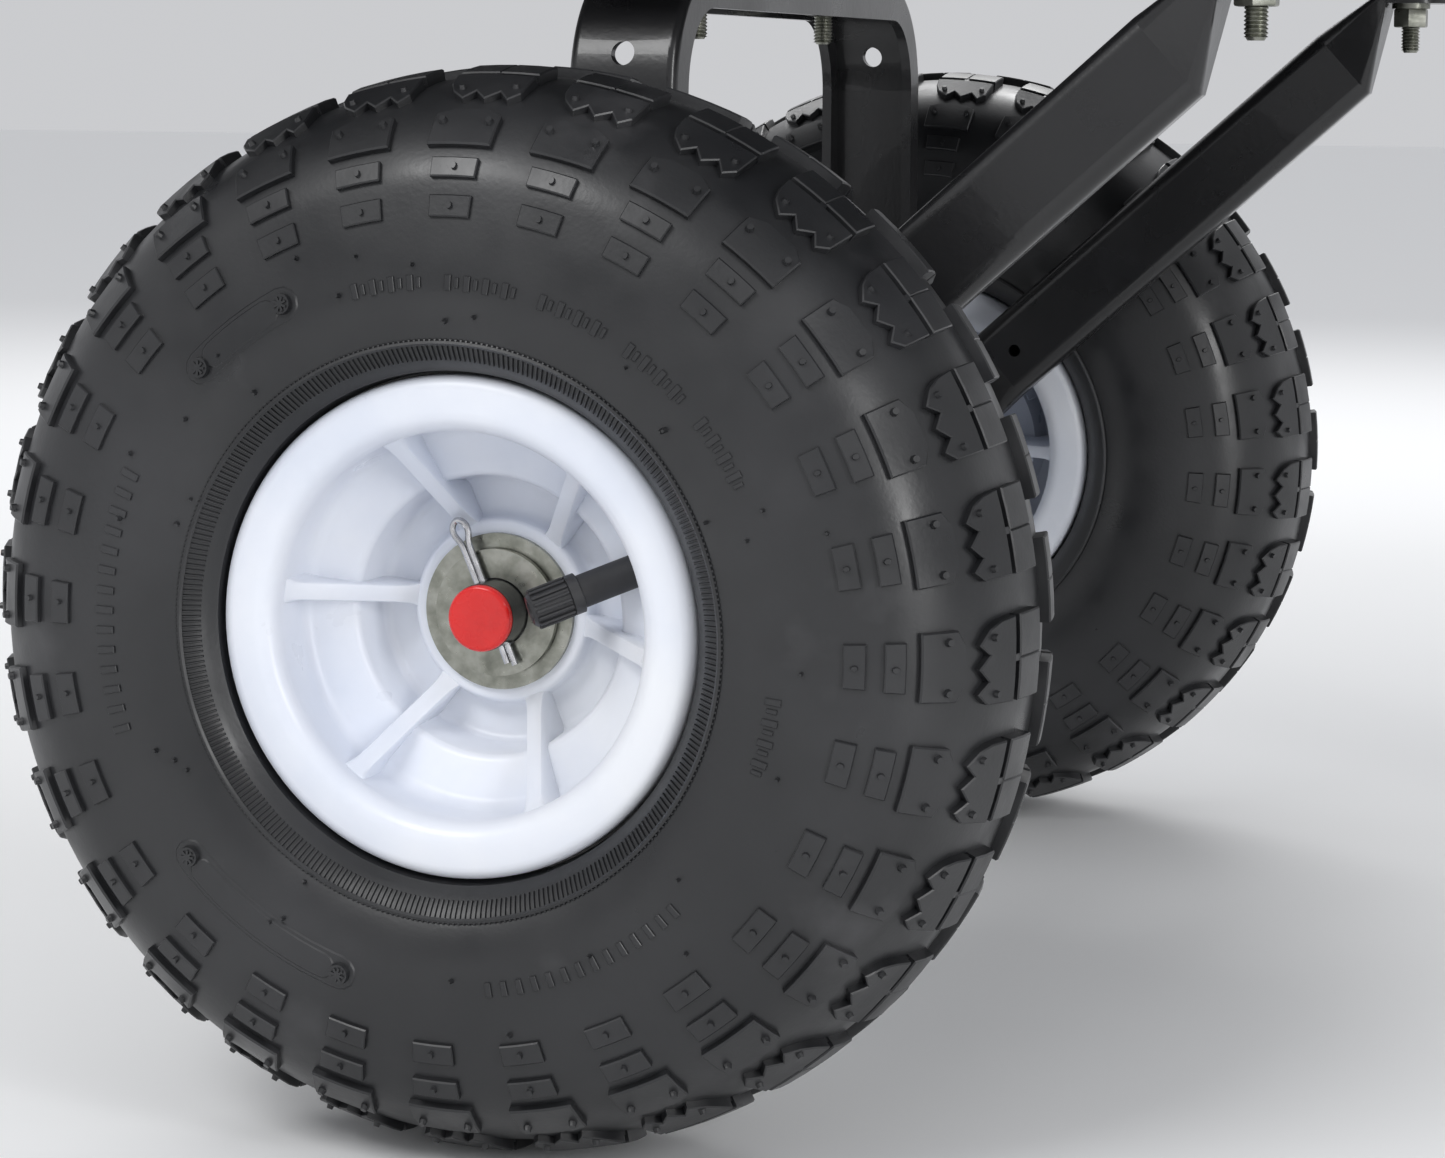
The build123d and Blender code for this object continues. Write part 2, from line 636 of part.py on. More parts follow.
keep("hitch_upper_plate", hitch_plate(tub_z))
keep("hitch_lower_plate", hitch_plate(rail_z - hitch_thick))
hitch_low = rail_z - hitch_thick
keep("hitch_bolts", *[carriage_bolt(x, 0, tub_z + hitch_thick, hitch_low - 12, hitch_bolt_r, 9.0)
                      for x in hitch_bolt_xs])
keep("hitch_nuts", *[nut(x, 0, hitch_low, hitch_bolt_r, 13.0, 8.0) for x in hitch_bolt_xs])

holder_y = drawbar_wide / 2 + pin_r + holder_wall
holder_low = rail_z
holder = sleeve(pin_r + fit + holder_wall, pin_r + fit, (pin_store_x, holder_y, holder_low),
                (pin_store_x, holder_y, tub_z))
holder -= block(pin_store_x - 20, pin_store_x + 20, 0, drawbar_wide / 2, holder_low - 1, tub_z + 1)
keep("pin_holder", holder)
pin_top = tub_z
hitch_pin = cylinder(pin_r, (pin_store_x, holder_y, holder_low - pin_below), (pin_store_x, holder_y, pin_top + 6))
hitch_pin += cylinder(pin_r + 4.5, (pin_store_x, holder_y, pin_top), (pin_store_x, holder_y, pin_top + 6))
hitch_pin += Plane(origin=(pin_store_x, holder_y, pin_top + 20), z_dir=(0, 1, 0)) * Torus(14, 2.5)
hitch_pin = chamfer(hitch_pin.edges().sort_by(Axis.Z)[0], 2.0)
keep("hitch_pin", hitch_pin)


# ---- parking stand ------------------------------------------------------------------------------
ear_in = stand_tube / 2 + stand_gap
ear_out = ear_in + stand_plate
ear_bottom = stand_z - stand_ear_low
bracket = block(stand_x - stand_ear_half, stand_x + stand_ear_half, -ear_out, ear_out, rail_z - stand_plate, rail_z)
for s in (1, -1):
    y0, y1 = sorted((s * ear_in, s * ear_out))
    bracket += block(stand_x - stand_ear_half, stand_x + stand_ear_half, y0, y1, ear_bottom, rail_z)
bracket -= cylinder(stand_pin_r + seat_gap, (stand_x, -50, stand_z), (stand_x, 50, stand_z))
keep("stand_bracket", bracket)
pivot = (stand_x, 0, stand_z)
pivot_bolt = cylinder(stand_pin_r, (stand_x, -ear_out - 8, stand_z), (stand_x, ear_out, stand_z))
pivot_bolt += extrude(Plane(origin=(stand_x, ear_out, stand_z), z_dir=(0, 1, 0))
                      * RegularPolygon(6.5, 6, major_radius=False), amount=5.3)
keep("stand_pivot_bolt", pivot_bolt)
pivot_nut = extrude(Plane(origin=(stand_x, -ear_out, stand_z), z_dir=(0, -1, 0))
                    * RegularPolygon(6.5, 6, major_radius=False), amount=6.5)
keep("stand_pivot_nut", pivot_nut - cylinder(stand_pin_r + fit, (stand_x, -60, stand_z), (stand_x, 60, stand_z)))

lean = Pos(*pivot) * Rot(0, -stand_lean, 0)
leg_length = (stand_z - foot_high) / cos(radians(stand_lean))
half = stand_tube / 2
leg = fillet(block(-half, half, -half, half, -leg_length - 5, stand_top).edges().filter_by(Axis.Z), 2.5)
core = half - stand_wall
leg -= block(-core, core, -core, core, -leg_length - 9, stand_top + 9)
leg -= cylinder(stand_pin_r + fit, (0, -50, 0), (0, 50, 0))
foot_x = stand_x + (stand_z - foot_high) * tan(radians(stand_lean))
leg = lean * leg - block(stand_x - 200, stand_x + 200, -50, 50, -60, foot_high)
keep("stand_leg", leg)
foot = cylinder(foot_r, (foot_x, 0, 0), (foot_x, 0, foot_high))
foot = fillet(foot.edges().filter_by(GeomType.CIRCLE), 1.5)
snug = core - 2 * seat_gap
plug = lean * block(-snug, snug, -snug, snug, -leg_length - 5, -leg_length + foot_plug)
plug -= block(stand_x - 200, stand_x + 200, -50, 50, -60, foot_high - 1)
keep("stand_foot", foot + plug)

# ---- origin and export --------------------------------------------------------------------------
boxes = [solid.bounding_box() for solids in parts.values() for solid in solids]
middle_x = (min(b.min.X for b in boxes) + max(b.max.X for b in boxes)) / 2
os.makedirs("parts", exist_ok=True)
for name, solids in parts.items():
    placed = [Pos(-middle_x, 0, 0) * solid for solid in solids]
    export_step(placed[0] if len(placed) == 1 else Compound(placed), f"parts/{name}.step")
print("nodes", len(parts), "origin moved forward by", round(middle_x, 3))
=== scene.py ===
# %% [markdown]
# # A small tow-behind cart
# The cart is already packed as a fixed frame: every steel tube, bolt and joint has its place. This
# lesson dresses that frame. It starts by loading it.

# %% Load the frame
import json
import math
import random
import bmesh
import bpy
from mathutils import Matrix, Vector


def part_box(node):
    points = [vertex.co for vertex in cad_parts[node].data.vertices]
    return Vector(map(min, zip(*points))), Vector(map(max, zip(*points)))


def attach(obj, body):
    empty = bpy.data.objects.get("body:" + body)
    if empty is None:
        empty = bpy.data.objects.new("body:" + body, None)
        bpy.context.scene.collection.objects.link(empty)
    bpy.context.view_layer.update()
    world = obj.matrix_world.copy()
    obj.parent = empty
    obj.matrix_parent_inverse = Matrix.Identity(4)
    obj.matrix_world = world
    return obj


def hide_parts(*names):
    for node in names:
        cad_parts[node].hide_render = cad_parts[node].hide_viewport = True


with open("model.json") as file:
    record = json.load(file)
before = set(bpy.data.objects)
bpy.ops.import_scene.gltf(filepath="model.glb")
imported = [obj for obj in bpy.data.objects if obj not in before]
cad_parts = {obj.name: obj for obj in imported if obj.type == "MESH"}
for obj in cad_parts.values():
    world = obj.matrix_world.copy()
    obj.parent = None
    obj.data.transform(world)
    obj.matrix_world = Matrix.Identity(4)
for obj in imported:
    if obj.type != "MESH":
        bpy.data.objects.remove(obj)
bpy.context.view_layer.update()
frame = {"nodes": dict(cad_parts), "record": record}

MM = 0.001
SIDES = ("left", "right")

# %% [markdown]
# ## Measuring the wheels
# Everything on a wheel is modelled once, in millimetres, in the wheel's own space: x forward, v outwards
# along the axle (stored as y) and z up, from the middle of the wheel. One transform then carries the
# finished mesh to a side of the cart, so both wheels share the same making. The left wheel stands turned
# a little further than the right one, as two wheels that roll on their own do.

# %% Wheel space and its way to the cart
LEFT_TURN = math.radians(23)


def wheel_centre(side):
    """Middle of a wheel, from the box of its tyre."""
    low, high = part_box(f"{side}_tyre")
    return (low + high) / 2


def to_cart(bm, side, turns=True):
    """Carry a mesh from wheel space to its side; turns is False for what stands still on the axle."""
    sign = 1 if side == "left" else -1
    turn = LEFT_TURN if turns and side == "left" else 0.0
    move = (Matrix.Translation(wheel_centre(side)) @ Matrix.Diagonal((MM, sign * MM, MM, 1))
            @ Matrix.Rotation(turn, 4, "Y"))
    bmesh.ops.transform(bm, matrix=move, verts=bm.verts)
    if sign < 0:
        bmesh.ops.reverse_faces(bm, faces=bm.faces)


def finish(name, bm, body, *finishes, sharp=35):
    """Turn a bmesh in metres into a piece that rides on a body."""
    mesh = bpy.data.meshes.new(name)
    bm.to_mesh(mesh)
    bm.free()
    for one in finishes:
        mesh.materials.append(one)
    mesh.shade_smooth()
    mesh.set_sharp_from_angle(angle=math.radians(sharp))
    piece = bpy.data.objects.new(name, mesh)
    bpy.context.scene.collection.objects.link(piece)
    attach(piece, body)
    print(name, len(mesh.polygons), "faces")
    return piece


def polar(r, degrees, v):
    """A point of wheel space from its radius, its angle from forward towards up, and v."""
    angle = math.radians(degrees)
    return Vector((r * math.cos(angle), v, r * math.sin(angle)))


print("wheel centres", [tuple(round(c, 4) for c in wheel_centre(s)) for s in SIDES])

# %% [markdown]
# ## Camera
# A long lens stands low beside the right wheel, a step in front of the axle, and looks slightly down and
# back. The lens is shifted, so that one corner of the cart, its running gear, fills the frame.

# %% Camera
def add_camera():
    data = bpy.data.cameras.new("view")
    data.sensor_width = 36
    data.lens = 87.46
    data.shift_x = 0.0751
    data.shift_y = -0.1896
    data.clip_start = 0.05
    yaw, pitch, roll = (math.radians(a) for a in (-19.41, 3.66, 0.37))
    ahead = Vector((math.sin(yaw) * math.cos(pitch), math.cos(yaw) * math.cos(pitch), -math.sin(pitch)))
    across = Vector((math.cos(yaw), -math.sin(yaw), 0))
    above = across.cross(ahead)
    right = math.cos(roll) * across + math.sin(roll) * above
    up = -math.sin(roll) * across + math.cos(roll) * above
    turn = Matrix((right, up, -ahead)).transposed().to_4x4()
    camera = bpy.data.objects.new("view", data)
    camera.matrix_world = Matrix.Translation((0.1231, -0.9975, 0.2563)) @ turn
    bpy.context.scene.collection.objects.link(camera)
    bpy.context.scene.camera = camera


add_camera()

# %% [markdown]
# ## Floor and light
# A product of black rubber on black paint shows only by what it reflects, so the studio is bright all
# round: a pale floor, a nearly white sky, a large soft light above and in front, a strip on the right for
# the shoulder of the tyre, and a weaker one behind for the edges of the frame.

# %% Floor and light
def add_light(name, place, aim, size, power):
    data = bpy.data.lights.new(name, "AREA")
    data.shape = "RECTANGLE"
    data.size, data.size_y = size
    data.energy = power
    light = bpy.data.objects.new(name, data)
    light.location = place
    light.rotation_euler = (Vector(aim) - Vector(place)).to_track_quat("-Z", "Y").to_euler()
    bpy.context.scene.collection.objects.link(light)


def add_studio():
    scene = bpy.context.scene
    scene.view_settings.view_transform = "Standard"
    world = bpy.data.worlds.new("studio")
    world.use_nodes = True
    world.node_tree.nodes["Background"].inputs["Color"].default_value = (0.96, 0.97, 1.0, 1)
    world.node_tree.nodes["Background"].inputs["Strength"].default_value = 0.62
    scene.world = world
    target = (-0.15, -0.15, 0.15)
    add_light("key", (-0.9, -1.9, 1.9), target, (1.1, 0.8), 24)
    add_light("strip", (1.5, -1.2, 0.7), target, (0.3, 1.2), 13)
    add_light("back", (-0.6, 1.9, 1.5), target, (1.4, 0.6), 16)
    bm = bmesh.new()
    bmesh.ops.create_grid(bm, x_segments=1, y_segments=1, size=14)
    mesh = bpy.data.meshes.new("floor")
    bm.to_mesh(mesh)
    bm.free()
    floor = bpy.data.objects.new("floor", mesh)
    scene.collection.objects.link(floor)
    pale = bpy.data.materials.new("pale_floor")
    pale.use_nodes = True
    shader = pale.node_tree.nodes["Principled BSDF"]
    shader.inputs["Base Color"].default_value = (0.93, 0.935, 0.94, 1)
    shader.inputs["Roughness"].default_value = 0.9
    mesh.materials.append(pale)


add_studio()

# %% [markdown]
# ## Finishes
# A finish is a small node tree on the piece's own coordinates. Each one mixes two or three tints by
# noise, lets the same noise move the roughness, and raises a fine grain with a bump. The helper below
# wires that up, so that each finish is one call with the numbers of its own surface.

# %% A helper for finishes
def surface(name, slot, tints, rough, grain, bump, metal=0.0, blotch=9.0, coat=0.0, stain=None,
            specular=0.5):
    """tints: dark to light; rough: low, high; grain: cells per metre; bump: height in mm; blotch: cells per
    metre of the tint changes; stain: (colour, share, cells per metre) of a third tint in patches."""
    mat = bpy.data.materials.new(name)
    mat.use_nodes = True
    nodes, links = mat.node_tree.nodes, mat.node_tree.links
    shader = nodes["Principled BSDF"]
    where = nodes.new("ShaderNodeTexCoord")

    def noise(scale, detail):
        made = nodes.new("ShaderNodeTexNoise")
        made.inputs["Scale"].default_value = scale
        made.inputs["Detail"].default_value = detail
        links.new(where.outputs["Object"], made.inputs["Vector"])
        return made.outputs["Fac"]

    def ramp(source, stops):
        made = nodes.new("ShaderNodeValToRGB")
        for i, (at, colour) in enumerate(stops):
            stop = made.color_ramp.elements[i] if i < 2 else made.color_ramp.elements.new(at)
            stop.position, stop.color = at, (*colour, 1)
        links.new(source, made.inputs["Fac"])
        return made.outputs["Color"]

    cloud = noise(blotch, 6)
    places = [0.3 + 0.4 * i / (len(tints) - 1) for i in range(len(tints))]
    colour = ramp(cloud, list(zip(places, tints)))
    if stain:
        tint, share, cells = stain
        patch = ramp(noise(cells, 5), [(1 - share - 0.12, (0, 0, 0)), (1 - share + 0.06, (1, 1, 1))])
        mix = nodes.new("ShaderNodeMix")
        mix.data_type = "RGBA"
        links.new(patch, mix.inputs["Factor"])
        links.new(colour, mix.inputs["A"])
        mix.inputs["B"].default_value = (*tint, 1)
        colour = mix.outputs["Result"]
    links.new(colour, shader.inputs["Base Color"])
    low, high = rough
    gloss = nodes.new("ShaderNodeMapRange")
    gloss.inputs["From Min"].default_value = 0.3
    gloss.inputs["From Max"].default_value = 0.7
    gloss.inputs["To Min"].default_value = low
    gloss.inputs["To Max"].default_value = high
    links.new(noise(blotch * 3.1, 4), gloss.inputs["Value"])
    links.new(gloss.outputs["Result"], shader.inputs["Roughness"])
    relief = nodes.new("ShaderNodeBump")
    relief.inputs["Distance"].default_value = bump * MM
    relief.inputs["Strength"].default_value = 0.8
    links.new(noise(grain, 3), relief.inputs["Height"])
    links.new(relief.outputs["Normal"], shader.inputs["Normal"])
    shader.inputs["Metallic"].default_value = metal
    shader.inputs["Coat Weight"].default_value = coat
    shader.inputs["Specular IOR Level"].default_value = specular
    finishes_by_slot.setdefault(slot, mat)
    return mat


finishes_by_slot = {}

# %% [markdown]
# The tyre is black rubber with a grey bloom and dusty patches; the rim is a cold white moulding with
# faint smudges; the frame is black powder coat with a fine orange peel; the small parts are zinc, some
# with a yellow cast, and the cap on the axle is a bright red.

# %% The finishes
rubber = surface("tyre_rubber", "tyre_rubber",
                 [(0.009, 0.0095, 0.011), (0.014, 0.0145, 0.016), (0.024, 0.0245, 0.027)], (0.27, 0.5),
                 900, 0.05, blotch=16, stain=((0.05, 0.05, 0.053), 0.26, 26), specular=0.6)
tube_rubber = surface("tube_rubber", "tube_rubber", [(0.018, 0.018, 0.02), (0.03, 0.03, 0.032)],
                      (0.5, 0.7), 1200, 0.04, blotch=60)
white = surface("white_moulding", "white_plastic",
                [(0.7, 0.74, 0.83), (0.78, 0.81, 0.88), (0.84, 0.86, 0.9)], (0.26, 0.42),
                260, 0.03, blotch=22, stain=((0.66, 0.65, 0.66), 0.14, 45), specular=0.45)
powder = surface("powder_black", "frame_black", [(0.008, 0.008, 0.009), (0.013, 0.013, 0.014)],
                 (0.24, 0.34), 620, 0.06, blotch=12, coat=0.25)
zinc = surface("zinc_plate", "zinc_steel", [(0.2, 0.205, 0.175), (0.3, 0.305, 0.265), (0.4, 0.4, 0.36)],
               (0.26, 0.46), 700, 0.03, metal=1.0, blotch=220)
bearing = surface("bearing_steel", "bearing_steel", [(0.4, 0.4, 0.41), (0.6, 0.6, 0.62)],
                  (0.16, 0.3), 900, 0.01, metal=1.0, blotch=160)
red = surface("red_cap", "red_plastic", [(0.6, 0.004, 0.003), (0.7, 0.008, 0.006)],
              (0.2, 0.32), 500, 0.02, blotch=90, coat=0.3)
plain_black = surface("moulded_black", "black_plastic", [(0.014, 0.014, 0.016), (0.028, 0.028, 0.03)],
                      (0.42, 0.6), 1400, 0.04, blotch=80)
tub_black = surface("tub_black", "tub_plastic", [(0.014, 0.015, 0.017), (0.024, 0.025, 0.028)],
                    (0.44, 0.6), 700, 0.12, blotch=6)
slot_of = {row["node"]: row["material_slot"] for row in frame["record"]["subparts"]}
for node, obj in frame["nodes"].items():
    obj.data.materials.clear()
    obj.data.materials.append(finishes_by_slot[slot_of[node]])
print("finishes", sorted(finishes_by_slot))

# %% [markdown]
# ## Tyre: the carcass
# A tyre is a turned shape, so its section is drawn once as a closed outline and spun about the axle. The
# outline is drawn through a few measured points; a smooth curve through them, walked by its length s from
# the crown, is also the ruler that the tread blocks are laid out on.

# %% Section of the tyre
SECTION = [(0, 127.3), (10.2, 126.6), (20.5, 124.5), (27.8, 121.9), (34.1, 118.4), (38.7, 114.5),
           (42.1, 110.3), (44.8, 105.1), (46.7, 97.7), (48.1, 90.5), (49.0, 83.5), (49.2, 77.5),
           (48.3, 71.5), (46.3, 66.2), (43.6, 62.4), (41.4, 60.6), (40.2, 59.6)]


def walk(points, step):
    """Points every step along a smooth curve through the given ones."""
    flat = [Vector(p) for p in points]
    ends = [flat[0] * 2 - flat[1]] + flat + [flat[-1] * 2 - flat[-2]]
    dense = [flat[0]]
    for a, b, c, d in zip(ends, ends[1:], ends[2:], ends[3:]):
        for i in range(1, 101):
            t = i / 100
            dense.append(0.5 * (2 * b + (c - a) * t + (2 * a - 5 * b + 4 * c - d) * t * t
                                + (3 * b - a - 3 * c + d) * t ** 3))
    out, gone = [dense[0]], 0.0
    for a, b in zip(dense, dense[1:]):
        gone += (b - a).length
        if gone >= step:
            out.append(b)
            gone -= step
    return out


RULER = 0.25
TYRE_RADIUS = 130.0
MIRRORED = [(-v, r) for v, r in reversed(SECTION[1:])] + SECTION
FINE = walk(MIRRORED, RULER)
CROWN = min(range(len(FINE)), key=lambda i: abs(FINE[i].x))


def on_tread(s, across, height):
    """A point of wheel space: s along the section from the crown, across in mm along the crown's
    circumference, height above the rubber."""
    at = CROWN + s / RULER
    i = max(1, min(len(FINE) - 3, int(math.floor(at))))
    part = at - i
    base = FINE[i].lerp(FINE[i + 1], part)
    along = (FINE[i + 1] - FINE[i - 1]).lerp(FINE[i + 2] - FINE[i], part).normalized()
    normal = Vector((-along.y, along.x))
    point = base + normal * height
    return polar(point.y, math.degrees(across / TYRE_RADIUS), point.x)


print("section length", round(len(FINE) * RULER, 1), "mm")


# %% A helper that turns an outline about the axle
def spun(bm, outline, steps):
    """Spin a closed outline of (v, r) points about the axle."""
    verts = [bm.verts.new((r, v, 0)) for v, r in outline]
    edges = [bm.edges.new(pair) for pair in zip(verts, verts[1:] + verts[:1])]
    before = set(bm.faces)
    bmesh.ops.spin(bm, geom=verts + edges, cent=(0, 0, 0), axis=(0, 1, 0), dvec=(0, 0, 0),
                   angle=2 * math.pi, steps=steps, use_merge=True, use_duplicate=False)
    made = [f for f in bm.faces if f not in before]
    bmesh.ops.recalc_face_normals(bm, faces=made)


TYRE_ROUND = 168
BEAD = [(33.6, 59.2), (33.6, 51.0), (20.6, 51.0), (20.6, 58.8), (33.0, 68), (41.0, 84), (36.5, 102),
        (24, 113), (10, 117)]


def carcass(bm):
    outer = [tuple(p) for p in FINE[::7]] + [tuple(FINE[-1])]
    inner = BEAD + [(0, 118)] + [(-v, r) for v, r in reversed(BEAD)]
    spun(bm, outer + inner, TYRE_ROUND)


# %% [markdown]
# ## Tyre: the tread
# Each side of the tread repeats every 28th of a turn: two thin pads on the sidewall, a heavy shoulder
# block with cut corners, and a crown block with a saw-toothed edge and two slots. The two sides are half a
# step apart. One step is built flat, as outlines that are raised and bevelled, then wrapped round the
# section by the ruler and copied round the wheel by a spin that duplicates.

# %% One raised block
STEPS = 28
HEIGHT = 2.8
SHOULDER_HEIGHT = 1.8
SUNK = 1.2


def raised(bm, outline, height, edge=0.45, cuts=(), slope=None):
    """Raise an outline of (s, across) points to a height, bevel its top edge, and cut it across where it
    has to bend. It starts a little under the rubber. slope(s) scales the height."""
    verts = [bm.verts.new((s, t, -SUNK)) for s, t in outline]
    bottom = bm.faces.new(verts)
    grown = bmesh.ops.extrude_face_region(bm, geom=[bottom])["geom"]
    top = [g for g in grown if isinstance(g, bmesh.types.BMVert)]
    for vert in top:
        vert.co.z = height * (slope(vert.co.x) if slope else 1)
    face = next(g for g in grown if isinstance(g, bmesh.types.BMFace))
    island = set(top) | set(verts)
    bmesh.ops.recalc_face_normals(bm, faces=[f for f in bm.faces if f.verts[0] in island])
    if edge:
        rims = bmesh.ops.bevel(bm, geom=list(face.edges), offset=edge, segments=1, profile=0.5,
                               affect="EDGES", material=-1)
        island |= set(rims["verts"])
    island |= {v for f in bm.faces if any(w in island for w in f.verts) for v in f.verts}
    for axis, at in cuts:
        geom = [g for g in (*bm.verts, *bm.edges, *bm.faces)
                if (g in island if isinstance(g, bmesh.types.BMVert) else all(v in island for v in g.verts))]
        normal = Vector((1, 0, 0)) if axis == "s" else Vector((0, 1, 0))
        cut = bmesh.ops.bisect_plane(bm, geom=geom, dist=1e-4, plane_co=normal * at, plane_no=normal)
        island |= {g for g in cut["geom_cut"] if isinstance(g, bmesh.types.BMVert)}


def nub(bm, s, t, height, radius=1.05, tall=0.75):
    """A small round nub, as a vent hole leaves."""
    move = Matrix.Translation((s, t, height + tall / 2 - 0.3))
    bmesh.ops.create_cone(bm, cap_ends=True, segments=9, radius1=radius, radius2=radius * 0.7,
                          depth=tall + 0.6, matrix=move)


def box_outline(s0, s1, t0, t1):
    return [(s0, t0), (s1, t0), (s1, t1), (s0, t1)]


TEETH_START, TEETH_LONG = 19.0, 12.4
TEETH = [(TEETH_START, -10.0), (24.5, -9.4), (28.2, -7.8), (31.4, -4.3), (28.2, -1.7), (31.4, 1.4),
         (28.2, 4.6), (31.4, 7.5), (28.4, 10.0), (TEETH_START, 10.0)]
SHOULDER = [(34.6, -4.5), (37.6, -8.8), (46.6, -9.0), (46.6, 9.0), (37.6, 8.8), (34.6, 4.5)]


def tread_step(bm):
    """Everything that one side of the tread repeats, laid out flat as (s, across, height)."""
    bends = [("t", -5), ("t", 0), ("t", 5)]
    raised(bm, box_outline(58.3, 63.4, -6.6, 6.6), 1.1, 0.3, bends)
    raised(bm, box_outline(49.7, 54.3, -6.8, 6.8), 1.4, 0.3, bends)
    raised(bm, SHOULDER, SHOULDER_HEIGHT, 0.4, bends + [("s", 40.5)],
           slope=lambda s: 1.0 if s > 37 else 0.4)
    raised(bm, TEETH, HEIGHT, 0.3, bends, slope=lambda s: 1 - 0.4 * (s - TEETH_START) / TEETH_LONG)
    for t0, t1 in ((-10.0, 0.0), (0.0, 10.0)):
        raised(bm, box_outline(5.4, 16.8, t0, t1), HEIGHT, 0.35, [("t", (t0 + t1) / 2), ("s", 11)])
    raised(bm, box_outline(16.5, 19.3, -0.9, 0.7), HEIGHT - 0.3, 0)
    raised(bm, box_outline(16.0, 19.6, -9.6, 9.6), 0.9, 0)
    nub(bm, 60.9, 0.3, 1.1)
    nub(bm, 52.0, 0.3, 1.4)
    nub(bm, 40.1, -6.2, SHOULDER_HEIGHT, 1.2)
    nub(bm, 40.1, 6.4, SHOULDER_HEIGHT, 1.2)
    nub(bm, 26.8, -5.8, HEIGHT * 0.76)
    nub(bm, 25.6, 7.6, HEIGHT * 0.78)


def wrap(bm, sign, turn):
    """Bend a flat step round the section on one side of the crown, turned by some degrees."""
    spin = Matrix.Rotation(-math.radians(turn), 4, "Y")
    for vert in bm.verts:
        s, t, height = vert.co
        vert.co = spin @ on_tread(sign * s, -t, height)
    if sign > 0:
        bmesh.ops.reverse_faces(bm, faces=bm.faces)


# %% [markdown]
# The sidewall carries what moulds leave behind: a band of fine serrations beside the rim, a thin ring,
# scattered vent nubs, and two curved plates held by small star-headed discs. Plain dashes stand where a
# maker would put words.

# %% Mould marks of the sidewall
STEP = 360 / STEPS


def side_mark(bm, radius, degrees, make):
    """Build something flat with make(bm), then bend it onto the outer sidewall at a radius and an angle."""
    part = bmesh.new()
    make(part)
    s_at = min(range(CROWN, len(FINE)), key=lambda i: abs(FINE[i].y - radius) + (0 if FINE[i].x > 30 else 99))
    s_mid = (s_at - CROWN) * RULER
    for vert in part.verts:
        along, across, height = vert.co
        base = on_tread(s_mid + along, 0, height)
        reach = math.hypot(base.x, base.z)
        vert.co = polar(reach, degrees - math.degrees(across / radius), base.y)
    copy = bpy.data.meshes.new("mark")
    bmesh.ops.recalc_face_normals(part, faces=part.faces)
    part.to_mesh(copy)
    part.free()
    bm.from_mesh(copy)
    bpy.data.meshes.remove(copy)


SERRATIONS = 330
WORDS_RADIUS, PLATE_RADIUS = 80.5, 84


def serrations():
    """The band of fine ridges beside the rim, one copied round."""
    ridge = bmesh.new()
    raised(ridge, box_outline(91.6, 97.6, -0.55, 0.55), 0.5, 0.3, [("s", 93.5), ("s", 95.5)])
    wrap(ridge, 1, 0)
    bmesh.ops.spin(ridge, geom=[*ridge.verts, *ridge.edges, *ridge.faces], cent=(0, 0, 0), axis=(0, 1, 0),
                   dvec=(0, 0, 0), angle=2 * math.pi * (SERRATIONS - 1) / SERRATIONS, steps=SERRATIONS - 1,
                   use_merge=False, use_duplicate=True)
    return ridge


def banana(bm, length, wide, height):
    """Low plate with round ends, raised to a height."""
    ends = []
    for end, start in ((1, -90), (-1, 90)):
        for i in range(7):
            a = math.radians(start + i * 30)
            ends.append((wide / 2 * math.sin(a), end * (length - wide) / 2 + wide / 2 * math.cos(a)))
    cuts = [("t", -length / 2 + length * k / 8) for k in range(1, 8)]
    raised(bm, ends, height, 0.35, cuts)


def star_disc(bm, across):
    bmesh.ops.create_cone(bm, cap_ends=True, segments=20, radius1=2.6, radius2=2.3, depth=1.6,
                          matrix=Matrix.Translation((0, across, 0.8)))
    for k in range(4):
        turn = Matrix.Translation((0, across, 1.75)) @ Matrix.Rotation(math.radians(45 * k), 4, "Z")
        bmesh.ops.create_cube(bm, size=1, matrix=turn @ Matrix.Diagonal((3.4, 0.55, 0.5, 1)))


def plate(bm, degrees, length):
    def make(part):
        banana(part, length + 8, 8.4, 0.35)
        banana(part, length - 3, 6.4, 0.62)
        star_disc(part, length / 2)
        star_disc(part, -length / 2)
    side_mark(bm, PLATE_RADIUS, degrees, make)


def dash(length, wide, height=0.55):
    return lambda part: raised(part, box_outline(-wide / 2, wide / 2, -length / 2, length / 2), height, 0.15)


def sidewall_marks(bm):
    rng = random.Random(7)
    plate(bm, 126.5, 26)
    plate(bm, -122.5, 46)
    for k in range(30):
        degrees = 105 - k * 3.3 if k < 24 else -4 - (k - 24) * 3.4
        if k % 5 == 4:
            continue
        side_mark(bm, WORDS_RADIUS, degrees, dash(1.5, 3.6))
        side_mark(bm, WORDS_RADIUS, degrees - 1.5, dash(1.0, 2.4))
    for k in range(14):
        side_mark(bm, 85, 157 + k * 3.2, dash(1.7, 4.6))
        side_mark(bm, 82, -46 - k * 2.7, dash(1.4, 3.4))
    for _ in range(34):
        radius, degrees = rng.uniform(68, 96), rng.uniform(0, 360)
        lean = rng.uniform(-0.5, 0.5)

        def vent(part, lean=lean, size=rng.uniform(0.5, 0.85)):
            move = Matrix.Translation((lean * 0.3, 0, 0.6))
            bmesh.ops.create_cone(part, cap_ends=True, segments=8, radius1=size, radius2=size * 0.5,
                                  depth=1.8, matrix=move)
        side_mark(bm, radius, degrees, vent)


# %% Assemble a tyre
def add(bm, other):
    """Pour one bmesh into another."""
    copy = bpy.data.meshes.new("poured")
    other.to_mesh(copy)
    other.free()
    bm.from_mesh(copy)
    bpy.data.meshes.remove(copy)


